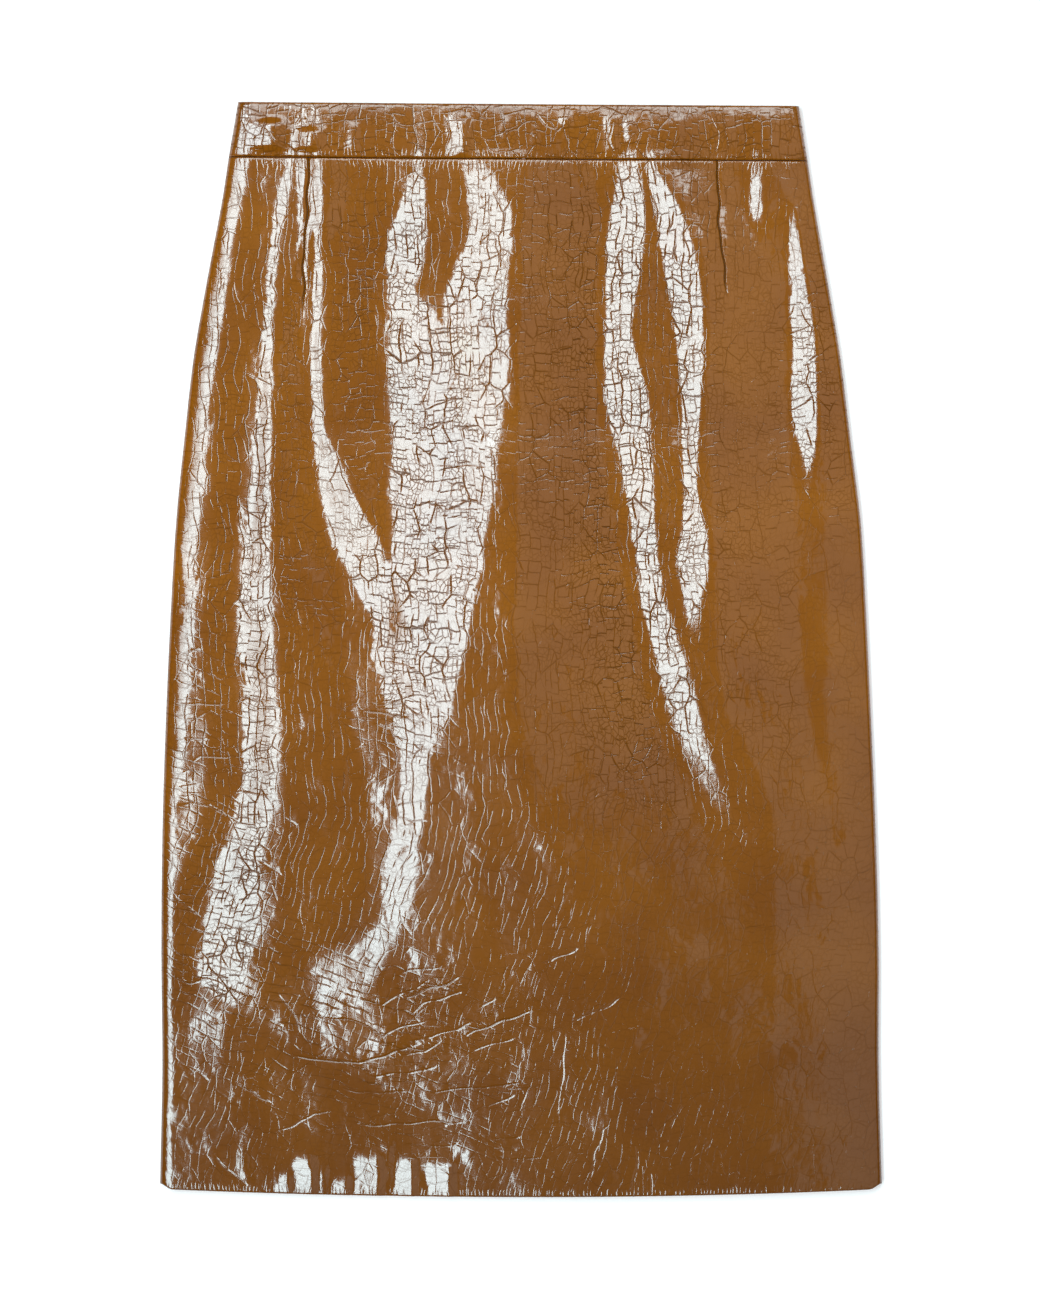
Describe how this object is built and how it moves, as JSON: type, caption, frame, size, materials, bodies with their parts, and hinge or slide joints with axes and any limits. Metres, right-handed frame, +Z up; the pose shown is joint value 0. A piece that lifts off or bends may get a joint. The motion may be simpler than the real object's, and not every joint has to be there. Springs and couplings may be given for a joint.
{
  "type": "leather midi skirt",
  "caption": "Glossy crinkled leather midi pencil skirt laid flat, with a plain waistband, stitched front darts and a concealed centre-back zip.",
  "frame": {"origin": "centre of the bounding box on the surface that the skirt lies on", "axes": "+X across the skirt to the right as seen from above, +Y towards the waist, +Z up from the surface through the back and then the front"},
  "size_m": [0.4618, 0.7, 0.0211],
  "materials": {
    "leather": "high-gloss crinkled patent coating",
    "zip_tape": "woven polyester",
    "zip_metal": "tumbled"
  },
  "bodies": {
    "skirt": {"front_panel": "leather", "waistband_front": "leather", "back_panel_left": "leather", "back_panel_right": "leather", "waistband_back_left": "leather", "waistband_back_right": "leather", "zip_tape": "zip_tape", "zip_slider": "zip_metal"},
    "zip_pull": {"zip_pull": "zip_metal"}
  },
  "joints": [
    {"name": "zip_pull_hinge", "type": "hinge", "parent": "skirt", "child": "zip_pull", "pos_m": [0, 0.343, 0.00145], "axis": [1, 0, 0], "range_deg": [0, 170]}
  ]
}
